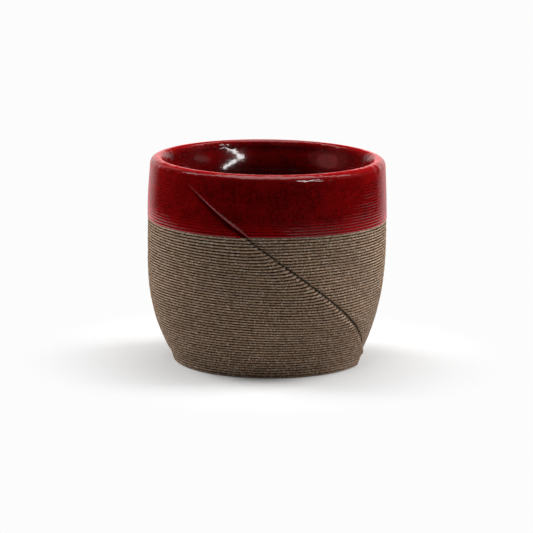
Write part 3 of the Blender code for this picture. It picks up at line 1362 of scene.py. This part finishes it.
@dataclass
class DippedBand(RingedPiece):
    """The coat of glaze that the cup was dipped into: down to the glaze line, over the lip, and inside.

    Attributes:
        layers, rows: Beads that show through the coat outside, and rows of faces on each.
        seed, line_seed: Starts of the random draws for the beads and for the glaze line.
        bead: Section of a bead as the glaze leaves it.
        least_depth, side_depth: How deep the beads are at the front, and how much more at the sides.
        low_depth: Share of this low down at the front.
        depth_wander, shade_wander: How much their depth and their shade vary.
        lip_clear: Height under the lip in which they fade out.
        wave, wave_reach: Height of the glaze line's waves, and how far up they are felt.
        edge_round, edge_inset: Height and depth of the rounding of the lower edge.
        pool_shade_left, pool_shade_right, crease_pool_and_shade: Reach of the darker glaze in the crease, and
        how dark it is: pooled glaze, and painted shade of the crease.
        bank_reach, bank_thin_and_highlight: Reach of the lighter glaze on the crease's right bank, and how
            light it is: thin glaze on the edge, and a painted highlight.
        dull_left, dull_right: Reach of the dull glaze in the crease.
        ribbed_top, ribbed_fade, low_share, low_light: Where, and how clearly, beads show low down.
        least_showing, most_showing: How clearly they show at the front, and at the sides and the back.
        smooth_reach, smooth_fade: Angle of the smooth front, and over which it ends.
        groove_spread: Power that makes the dark grooves wide.
        inner_layers, inner_rows, inner_depth, inner_showing, inner_clear, inner_sharpness: The same inside.
    """

    layers: int = 19
    rows: int = 6
    seed: int = 31
    line_seed: int = 23
    bead: BeadShape = BeadShape(0.000813, 0.00002)
    least_depth: float = 0.6
    side_depth: float = 1.5
    low_depth: float = 0.30
    depth_wander: float = 0.35
    shade_wander: float = 0.6
    lip_clear: float = 0.0030
    wave: float = 0.00006
    wave_reach: float = 0.0020
    edge_round: float = 0.00030
    edge_inset: float = 0.00012
    pool_shade_left: float = 0.0006
    pool_shade_right: float = 0.0002
    crease_pool_and_shade: float = 0.60
    bank_reach: float = 0.0010
    bank_thin_and_highlight: float = 0.65
    dull_left: float = 0.0014
    dull_right: float = 0.0003
    ribbed_top: float = 0.0490
    ribbed_fade: float = 0.0055
    low_share: float = 0.50
    low_light: float = 0.75
    least_showing: float = 0.18
    most_showing: float = 0.90
    smooth_reach: float = math.radians(28.0)
    smooth_fade: float = math.radians(42.0)
    groove_spread: float = 0.75
    inner_layers: int = 6
    inner_rows: int = 4
    inner_depth: float = 0.000004
    inner_showing: float = 0.25
    inner_clear: float = 0.0020
    inner_sharpness: float = 0.7

    def line_wave(self, turn: Array, z: Array) -> Array:
        """Return the waves of the glaze line, all downwards, over the clay."""
        drift = BeadDrift(self.line_seed, 1)
        return -self.wave * (1.0 + drift.at(np.zeros(len(turn), int), self.form.angle(turn, z)))

    def sideways(self, turn: Array, z: Array) -> Array:
        """Return 0 on the front, where the coat is smooth, and 1 on the sides and the back."""
        angle = np.mod(self.form.angle(turn, z) + math.pi, FULL_TURN) - math.pi
        return soft_step((np.abs(angle) - self.smooth_reach) / self.smooth_fade)

    def low_down(self, z: Array) -> Array:
        """Return 1 just above the glaze line and 0 higher up."""
        return soft_step((self.ribbed_top - z) / self.ribbed_fade)

    def below_lip(self, z: Array) -> Array:
        """Return 0 at the lip, where the beads have faded out, and 1 below it."""
        return soft_step((self.form.lip_centre - z) / self.lip_clear)

    def near_crease(self, turn: Array, z: Array, left: float, right: float) -> Array:
        """Return how near the crease each point lies.

        Args:
            turn: Turns of the columns.
            z: Heights.
            left: Reach on the lobe's side.
            right: Reach on the other side.

        Returns:
            1 within the reach, 0 beyond twice the reach or where the crease has faded out.
        """
        past = self.form.past_crease(turn, z)
        return within(np.abs(past), np.where(past < 0.0, left, right)) * self.form.creased(z)

    def shown(self, turn: Array, z: Array, crest: Array, wander: Array) -> Array:
        """Return how light the coat is outside.

        Args:
            turn: Turns of the columns.
            z: Heights.
            crest: How far each point lies from groove to crest of its bead.
            wander: Wander of the beads.

        Returns:
            The bead's value: dark in the grooves, dark in the crease with pooled glaze and painted shade,
            light on its right bank with thin glaze and a painted highlight, light low down and under the lip.
        """
        low = self.low_down(z)
        clear = np.maximum(self.sideways(turn, z), self.low_share * low)
        clear = self.least_showing + (self.most_showing - self.least_showing) * clear
        dark = (1.0 - crest) ** self.groove_spread * self.below_lip(z) * clear
        dark = dark * (1.0 + self.shade_wander * wander)
        # Pooled glaze and painted shade darken the crease; thin glaze and a painted highlight lighten its
        # right bank
        pool = self.near_crease(turn, z, self.pool_shade_left, self.pool_shade_right)
        bank = self.near_crease(turn, z, self.pool_shade_right, self.bank_reach)
        shown = (1.0 - np.clip(dark, 0.0, 1.0)) * (1.0 - self.crease_pool_and_shade * pool)
        shown = shown + (self.bank_thin_and_highlight * bank + self.low_light * low * crest) * (1.0 - pool)
        return shown + self.form.lip_thin * soft_step(1.0 - (self.form.lip_centre - z) / self.form.lip_fade)

    def outside(self, turn: Array, share: Array) -> Rings:
        """Place the rings outside.

        Args:
            turn: Turns of the columns.
            share: Shares of the way from the glaze line to the lip.

        Returns:
            The rings.
        """
        form = self.form
        number, phase = bead_at(share, self.layers, SLACK)
        start = form.glaze_line
        z = start + (form.lip_centre - start) * share
        wander = BeadDrift(self.seed, self.layers).at(number, form.angle(turn, z))
        crest = self.bead.crest(phase)
        side = np.maximum(self.sideways(turn, z), self.low_depth * self.low_down(z))
        depth = self.bead.depth * (1.0 + self.depth_wander * wander)
        depth = depth * (self.least_depth + self.side_depth * side)
        edge = rolled_step((z - start) / self.edge_round)
        inset = depth * (1.0 - crest) * self.below_lip(z) + self.edge_inset * (1.0 - edge)
        level = z + self.line_wave(turn, z) * soft_step(1.0 - (z - start) / self.wave_reach)
        radius = form.skin_radius(Face.OUTER, turn, z, inset, form.coat_softening)
        roll = form.lip_roll(np.full_like(z, form.roll_start))
        dull = self.near_crease(turn, z, self.dull_left, self.dull_right)
        return Rings(form.at_radius(radius, turn, z, level), self.shown(turn, z, crest, wander), roll, dull)

    def inside(self, turn: Array, share: Array) -> Rings:
        """Place the rings inside.

        Args:
            turn: Turns of the columns.
            share: Shares of the way from the lip down to the poured coat.

        Returns:
            The rings.
        """
        form = self.form
        z = form.lip_centre + (form.seam_height - form.lip_centre) * share
        crest = np.abs(np.sin(math.pi * share * self.inner_layers)) ** self.inner_sharpness
        groove = (1.0 - crest) * soft_step((form.lip_centre - z) / self.inner_clear)
        # Painted light and shade on the glaze inside
        shown = (1.0 - self.inner_showing * groove) * form.inside_painted_light(form.angle(turn, z), z)
        return Rings(form.skin(Face.INNER, turn, z, self.inner_depth * groove), shown, form.roll(z))

    def lower_edge(self, turn: Array, share: Array) -> Rings:
        """Place the rings of the coat's lower edge.

        Args:
            turn: Turns of the columns.
            share: Shares of the way from the coat's back to its face.

        Returns:
            The rings.
        """
        form = self.form
        z = np.full_like(turn, form.glaze_line)
        inset = form.glaze_thickness + (self.edge_inset + self.bead.depth - form.glaze_thickness) * share
        radius = form.skin_radius(Face.OUTER, turn, z, inset, form.coat_softening)
        return Rings(form.at_radius(radius, turn, z, z + self.line_wave(turn, z) * share))

    def inner_edge(self, turn: Array, share: Array) -> Rings:
        """Place the rings of the coat's inner end, on which the poured coat begins."""
        z = np.full_like(turn, self.form.seam_height)
        return Rings(
            self.form.skin(Face.INNER, turn, z, self.form.glaze_thickness * share), roll=self.form.roll(z)
        )

    def lip_back(self, turn: Array, share: Array) -> Rings:
        """Place the rings of the lip's covered back, from its inner to its outer side."""
        return self.lip(self.form.glaze_thickness, layers=1).place(turn, 1.0 - share)

    def stretches(self) -> list[Stretch]:
        """Return the runs of rings along the coat's section.

        Returns:
            The lower edge, the outside, the lip, the inside and the covered back.
        """
        form = self.form
        thick = form.glaze_thickness
        return [
            Stretch(self.lower_edge, layers=2),
            Stretch(self.outside, self.layers, self.rows),
            self.lip(0.0, layers=16),
            Stretch(self.inside, self.inner_layers, self.inner_rows),
            Stretch(self.inner_edge, layers=1),
            self.plain(Face.INNER, form.seam_height, form.lip_centre, thick, layers=3),
            Stretch(self.lip_back, layers=6),
            self.plain(Face.OUTER, form.lip_centre, form.glaze_line, thick, layers=5),
        ]


@dataclass
class PouredLining(RingedPiece):
    """The coat of glaze poured inside, on the wall and across the floor.

    Attributes:
        layers, rows: Beads that show through on the wall, and rows of faces on each.
        depth, showing, sharpness: Depth of their grooves, how clearly they show, and how narrow they are.
        corner_clear, roll_clear: Heights over which they fade above the corner and below the glaze's run.
        corner_radius: Rounding between wall and floor.
        loops, loop_rows: Turns of the floor's spiral that show through, and rows of faces on each.
        spiral_pitch, spiral_depth: Width of these, and depth of their grooves beside those of the wall.
        spiral_end, spiral_start: Shares of the way to the middle at which it has faded in, and starts.
        spiral_shade: How light its grooves are.
    """

    columns: int = 216
    layers: int = 55
    rows: int = 4
    depth: float = 0.000018
    showing: float = 0.50
    sharpness: float = 0.7
    corner_clear: float = 0.004
    roll_clear: float = 0.006
    corner_radius: float = 0.0040
    loops: int = 9
    loop_rows: int = 6
    spiral_pitch: float = 0.0022
    spiral_depth: float = 1.5
    spiral_end: float = 0.10
    spiral_start: float = 0.97
    spiral_shade: float = 0.5

    @property
    def floor_level(self) -> float:
        """Height of the glaze on the floor."""
        return self.form.floor_top + self.form.glaze_thickness

    @property
    def corner_top(self) -> float:
        """Height at which the rounding to the floor starts."""
        return self.floor_level + self.corner_radius

    def underside(self, turn: Array, share: Array) -> Rings:
        """Place the rings of the covered underside.

        Args:
            turn: Turns of the columns.
            share: Shares of the way from the middle outwards.

        Returns:
            The rings.
        """
        z = np.full_like(turn, self.form.floor_top)
        radius = self.form.skin_radius(Face.INNER, turn, z, self.form.glaze_thickness) * share
        return Rings(self.form.at_radius(radius, turn, z, z))

    def upper_edge(self, turn: Array, share: Array) -> Rings:
        """Place the rings of the edge that meets the dipped coat.

        Args:
            turn: Turns of the columns.
            share: Shares of the way from the coat's back to its face.

        Returns:
            The rings.
        """
        z = np.full_like(turn, self.form.seam_height)
        inset = self.form.glaze_thickness * (1.0 - share)
        return Rings(self.form.skin(Face.INNER, turn, z, inset), roll=self.form.roll(z))

    def inside(self, turn: Array, share: Array) -> Rings:
        """Place the rings of the wall.

        Args:
            turn: Turns of the columns.
            share: Shares of the way down.

        Returns:
            The rings.
        """
        form = self.form
        z = form.seam_height + (self.corner_top - form.seam_height) * share
        crest = np.abs(np.sin(math.pi * share * self.layers)) ** self.sharpness
        fade = soft_step((z - self.corner_top) / self.corner_clear)
        groove = (1.0 - crest) * fade * soft_step((form.roll_foot - z) / self.roll_clear)
        # Painted light and shade on the glaze inside
        shown = (1.0 - self.showing * groove) * form.inside_painted_light(form.angle(turn, z), z)
        return Rings(form.skin(Face.INNER, turn, z, self.depth * groove), shown, form.roll(z))

    def corner(self, turn: Array, share: Array) -> Rings:
        """Place the rings of the rounding.

        Args:
            turn: Turns of the columns.
            share: Shares of the way from the wall to the floor.

        Returns:
            The rings.
        """
        z = np.full_like(turn, self.corner_top)
        angle = share * math.pi / 2
        inwards = self.corner_radius * (1.0 - np.cos(angle))
        radius = self.form.skin_radius(Face.INNER, turn, z, -inwards)
        level = self.corner_top - self.corner_radius * np.sin(angle)
        return Rings(self.form.at_radius(radius, turn, z, level))

    def floor(self, turn: Array, share: Array) -> Rings:
        """Place the rings of the floor.

        Args:
            turn: Turns of the columns.
            share: Shares of the way to the middle.

        Returns:
            The rings.
        """
        z = np.full_like(turn, self.corner_top)
        radius = self.form.skin_radius(Face.INNER, turn, z, -self.corner_radius) * (1.0 - share)
        phase = spiral_phase(radius, self.form.angle(turn, z), self.spiral_pitch)
        crest = np.where(share < self.spiral_start, np.sin(math.pi * phase) ** 2, 0.5)
        depth = self.spiral_depth * self.depth * (1.0 - crest) * soft_step(share / self.spiral_end)
        shown = self.spiral_shade + (1.0 - self.spiral_shade) * crest
        return Rings(self.form.at_radius(radius, turn, z, self.floor_level - depth), shown)

    def stretches(self) -> list[Stretch]:
        """Return the covered underside and back, the top edge, the inside, the corner and the floor."""
        form = self.form
        return [
            Stretch(self.underside, layers=3),
            self.plain(Face.INNER, form.floor_top, form.seam_height, form.glaze_thickness, layers=12),
            Stretch(self.upper_edge, layers=1),
            Stretch(self.inside, self.layers, self.rows),
            Stretch(self.corner, layers=10),
            Stretch(self.floor, self.loops, self.loop_rows),
        ]


@dataclass(frozen=True)
class Softbox:
    """A lamp behind a cloth.

    Attributes:
        name: The lamp's name.
        place: Where it hangs.
        aim: What it points at.
        width, length: Size of the cloth.
        radiance: Brightness of the cloth.
        mirrored: Whether it shows in reflections.
        lighting: Whether it lights what is matt.
        tilt: How far it is turned about its own axis.
        shape: Shape of the cloth.
        colour: Its colour.
    """

    name: str
    place: Point
    aim: Point
    width: float
    length: float
    radiance: float
    mirrored: bool = True
    lighting: bool = True
    tilt: float = 0.0
    shape: Cloth = Cloth.RECTANGLE
    colour: Colour = (1.0, 1.0, 1.0)

    def hang(self) -> None:
        """Add the lamp to the scene."""
        bpy.ops.object.light_add(type="AREA", location=self.place)
        lamp = bpy.context.object
        lamp.name = self.name
        lamp.rotation_euler = (Vector(self.aim) - Vector(self.place)).to_track_quat("-Z", "Y").to_euler()
        lamp.data.shape = self.shape.value
        lamp.data.color = self.colour
        lamp.data.size = self.width
        lamp.data.size_y = self.length
        lamp.data.energy = self.radiance * math.pi * self.width * self.length
        lamp.rotation_euler.rotate_axis("Z", self.tilt)
        lamp.visible_glossy = self.mirrored
        lamp.visible_diffuse = self.lighting


@dataclass
class Studio:
    """A white table and backdrop, softboxes and the camera.

    Attributes:
        floor_radius: Radius of the round table top.
        shade_radius: Radius within which the table top shows the cup's full shadow.
        white_radius: Radius from which it is plain white to the camera and in reflections.
        floor_colour: Colour of the table top.
        lift: Share of plain white in the table top as the camera sees it.
        white: Brightness of the backdrop.
        room: Brightness of the room that lights the cup.
        dark_front, bright_back: Brightness of the room before and behind the cup, as it shows in the glaze.
        back_span: Directions along Y between which the room gets bright.
        low_share, low_span: How bright the back is low down, and the rise over which it gets brighter.
        high_span: The rise over which it gets dark again.
        lamp_aim: What the lamps that light the cup point at.
        lip_aim: What those that only show in the glaze point at.
        patch_aim, patch_colour: The same for the soft patch inside, and its colour.
        lens, sensor: Focal length and sensor width in millimetres.
        camera_place, camera_aim: Where the camera stands, and what it looks at.
        camera_roll: How far it is tilted sideways.
        clip_start: Distance from which it sees.
    """

    floor_radius: float = 0.225
    shade_radius: float = 0.034
    white_radius: float = 0.075
    floor_colour: Colour = (0.66, 0.66, 0.66)
    lift: float = 0.08
    white: float = 0.974
    room: float = 0.05
    dark_front: float = 0.006
    bright_back: float = 1.0
    back_span: Span = (0.62, 0.97)
    low_share: float = 0.68
    low_span: Span = (-0.12, 0.02)
    high_span: Span = (0.42, 0.22)
    lamp_aim: Point = (0.0, 0.0, 0.03)
    lip_aim: Point = (0.0, 0.0, 0.055)
    patch_aim: Point = (0.018, 0.024, 0.053)
    patch_colour: Colour = (1.0, 0.34, 0.34)
    lens: float = 230.3
    sensor: float = 36.0
    camera_place: Point = (0.0, -0.9813, 0.2225)
    camera_aim: Point = (0.0, 0.0, 0.02755)
    camera_roll: float = math.radians(0.75)
    clip_start: float = 0.01

    def set_up(self) -> None:
        """Add everything to the scene."""
        bpy.context.scene.view_settings.view_transform = "Standard"
        self._lay_floor()
        self._light_room()
        for lamp in (*self._lamps(), *self._strips(), *self._patches(), *self._lip_strips(), self._card()):
            lamp.hang()
        self._place_camera()

    def _lamps(self) -> list[Softbox]:
        """Return the lamps that light the cup.

        Returns:
            One on each side, one over the cup and a weak one at the front.
        """
        sides = [
            Softbox(
                f"softbox_{side.name.lower()}",
                place=(0.66 * side.value, 0.26 - 0.07 * side.value, 0.42),
                aim=self.lamp_aim,
                width=0.50,
                length=0.60,
                radiance=10.6 + 0.2 * side.value,
                mirrored=False,
            )
            for side in Side
        ]
        top = Softbox(
            "softbox_top",
            place=(0.0, 0.12, 0.95),
            aim=(0.0, 0.12, 0.0),
            width=0.60,
            length=0.85,
            radiance=2.3,
        )
        front = Softbox(
            "softbox_front",
            place=(-0.25, -0.80, 0.95),
            aim=self.lamp_aim,
            width=0.45,
            length=0.45,
            radiance=3.2,
            mirrored=False,
        )
        return [*sides, top, front]

    def _strips(self) -> list[Softbox]:
        """Return the two crossed strips that show as the bright zigzag inside and the glint on the lip."""
        settings = (("upper", 31.0, 0.52, -60.0), ("lower", 16.0, 0.44, 55.0))
        return [
            Softbox(
                f"strip_{name}",
                place=self._around(43.5, elevation),
                aim=self.lip_aim,
                width=0.045,
                length=length,
                radiance=30.0,
                lighting=False,
                tilt=math.radians(tilt),
            )
            for name, elevation, length, tilt in settings
        ]

    def _patches(self) -> list[Softbox]:
        """Return the pale spots over the lip that show as the soft patch inside on the right."""
        settings = (
            ("patch", (-0.042, 0.010, 0.078), 0.052, 0.036, 0.22),
            ("middle", (-0.042, 0.007, 0.075), 0.026, 0.022, 0.55),
        )
        return [
            Softbox(
                f"pale_{name}",
                place=place,
                aim=self.patch_aim,
                width=width,
                length=length,
                radiance=radiance,
                lighting=False,
                shape=Cloth.ELLIPSE,
                colour=self.patch_colour,
            )
            for name, place, width, length, radiance in settings
        ]

    def _lip_strips(self) -> list[Softbox]:
        """Return the strips that show as pale lines along the lip."""
        return [
            Softbox(
                f"lip_strip_{side.name.lower()}",
                place=(0.50 * side.value, 0.14, 0.80),
                aim=self.lip_aim,
                width=0.14,
                length=0.55,
                radiance=3.5,
                lighting=False,
            )
            for side in Side
        ]

    def _card(self) -> Softbox:
        """Return the pale card on the right that shows in the glaze inside."""
        return Softbox(
            "pale_card",
            place=self._around(84.0, 18.0),
            aim=self.lip_aim,
            width=0.40,
            length=0.12,
            radiance=0.28,
            lighting=False,
            shape=Cloth.ELLIPSE,
        )

    def _around(self, azimuth: float, elevation: float) -> Point:
        """Return a place 1 m from the lip.

        Args:
            azimuth: Degrees from the front.
            elevation: Degrees over the lip.

        Returns:
            The place.
        """
        turn = math.radians(azimuth)
        rise = math.radians(elevation)
        level = math.cos(rise)
        return (level * math.sin(turn), -level * math.cos(turn), math.sin(rise) + self.lip_aim[2])

    @staticmethod
    def _looks(sheet: Sheet) -> tuple[Value, Value]:
        """Return where the camera looks.

        Args:
            sheet: The sheet to add to.

        Returns:
            1 where it looks directly, and 1 where it looks by a reflection or through glass.
        """
        path = sheet.add("ShaderNodeLightPath")
        rays = ("Is Camera Ray", "Is Glossy Ray", "Is Transmission Ray")
        camera, mirrored, through = (Value(sheet, path.outputs[ray]) for ray in rays)
        return camera, mirrored.at_least(through)

    def _lay_floor(self) -> None:
        """Add the table top."""
        bpy.ops.object.select_all(action="DESELECT")
        bpy.ops.mesh.primitive_circle_add(vertices=96, radius=self.floor_radius, fill_type="NGON")
        floor = bpy.context.object
        floor.name = "table_top"
        made, sheet = new_material("white_table")
        paper = sheet.add("ShaderNodeBsdfDiffuse", {}, {"Color": self.floor_colour})
        glow = sheet.add("ShaderNodeEmission", {}, {"Color": (self.white,) * 3, "Strength": 1.0})
        far = sheet.value("ShaderNodeVectorMath", {"operation": "LENGTH"}, {0: sheet.place()}, "Value")
        plain = sheet.between(far, (self.shade_radius, self.white_radius))
        camera, mirrored = self._looks(sheet)
        lifted = camera.at_least(mirrored) * (self.lift + (1.0 - self.lift) * plain)
        sheet.show(sheet.blended(lifted, paper.outputs[0], glow.outputs[0]))
        floor.data.materials.append(made)

    def _light_room(self) -> None:
        """Make the world: white where the camera looks, paler behind the cup than in front in reflections."""
        world = bpy.data.worlds.new("studio_room")
        bpy.context.scene.world = world
        world.use_nodes = True
        sheet = Sheet(world.node_tree)
        camera, mirrored = self._looks(sheet)
        way = sheet.add("ShaderNodeTexCoord").outputs["Generated"]
        parts = sheet.add("ShaderNodeSeparateXYZ", {}, {"Vector": way})
        rise = Value(sheet, parts.outputs["Z"])
        behind = sheet.between(Value(sheet, parts.outputs["Y"]), self.back_span)
        behind = behind * (self.low_share + (1.0 - self.low_share) * sheet.between(rise, self.low_span))
        behind = behind * sheet.between(rise, self.high_span)
        back = self.dark_front + (self.bright_back - self.dark_front) * behind
        level = camera * self.white + (1.0 - camera) * (mirrored * back + (1.0 - mirrored) * self.room)
        shade = sheet.add("ShaderNodeBackground", {}, {"Color": (1.0, 1.0, 1.0), "Strength": level})
        sheet.add("ShaderNodeOutputWorld", {}, {"Surface": shade.outputs[0]})

    def _place_camera(self) -> None:
        """Add the camera."""
        bpy.ops.object.camera_add(location=self.camera_place)
        camera = bpy.context.object
        camera.name = "camera"
        view = (Vector(self.camera_aim) - Vector(self.camera_place)).to_track_quat("-Z", "Y")
        camera.rotation_euler = view.to_euler()
        camera.rotation_euler.rotate_axis("Z", self.camera_roll)
        camera.data.lens = self.lens
        camera.data.sensor_width = self.sensor
        camera.data.clip_start = self.clip_start
        bpy.context.scene.camera = camera


def main() -> None:
    """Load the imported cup, build and dress its pieces, and set up the studio."""
    logging.basicConfig(level=logging.INFO, format="%(name)s: %(message)s")
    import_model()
    form = CupForm()
    clay = ClayFinish()
    glaze = GlazeFinish()
    pieces: list[RingedPiece] = [
        PrintedWall(form, clay, "stoneware_wall", "wall_clay"),
        PrintedFloor(form, clay, "stoneware_floor", "floor_clay"),
        DippedBand(form, glaze, "glaze_band", "band_glaze"),
        PouredLining(form, glaze, "glaze_lining", "lining_glaze"),
    ]
    for piece in pieces:
        piece.build()
    Studio().set_up()
    bpy.context.view_layer.update()


if __name__ == "__main__":
    main()
